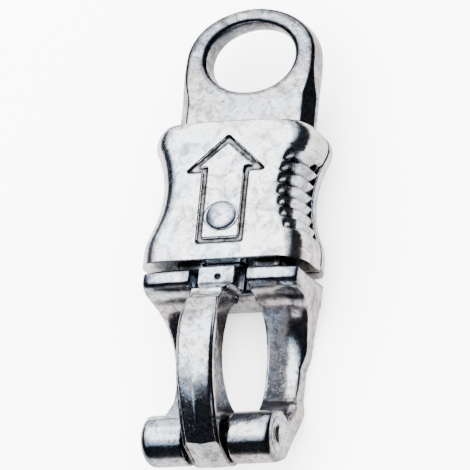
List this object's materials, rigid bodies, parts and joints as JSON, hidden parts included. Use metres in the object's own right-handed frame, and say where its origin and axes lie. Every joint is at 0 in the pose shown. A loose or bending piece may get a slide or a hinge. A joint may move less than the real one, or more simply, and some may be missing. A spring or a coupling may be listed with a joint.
{
  "type": "quick release panic snap hook",
  "caption": "Quick release panic snap: flat eye, spring loaded grip sleeve with teeth and an engraved arrow, forked body, and a hinged bowed jaw finger on a cross pin.",
  "frame": {"origin": "middle of the footprint, level with the lowest point of the fork arms, with the hook lying on its back", "axes": "+Y along the hook towards the eye, +Z out of the front face, +X to the right seen from the front with the eye at the top"},
  "size_m": [0.0394, 0.106, 0.0285],
  "materials": {
    "forging": "bright zinc plate on a forging, lightly mottled and pitted",
    "jaw_forging": "bright zinc plate on a forging, lightly mottled",
    "sleeve_casting": "bright zinc plate on a casting, smooth with fine pits",
    "rivet_steel": "bright zinc plate, hammered ends",
    "spring_wire": "drawn spring wire"
  },
  "bodies": {
    "base": {"hook_body": "forging", "hinge_pin": "rivet_steel", "return_spring": "spring_wire"},
    "sleeve": {"sleeve_front": "sleeve_casting", "sleeve_back": "sleeve_casting", "sleeve_rivet": "rivet_steel"},
    "jaw": {"jaw": "jaw_forging"}
  },
  "joints": [
    {"name": "sleeve_slide", "type": "slide", "parent": "base", "child": "sleeve", "axis": [0, 1, 0], "range_m": [0, 0.007], "stiffness_N_per_m": 900, "springref_m": -0.003, "deforming": ["return_spring"]},
    {"name": "jaw_hinge", "type": "hinge", "parent": "base", "child": "jaw", "pos_m": [0, -0.0467, 0.0132], "axis": [1, 0, 0], "range_deg": [0, 150]}
  ]
}
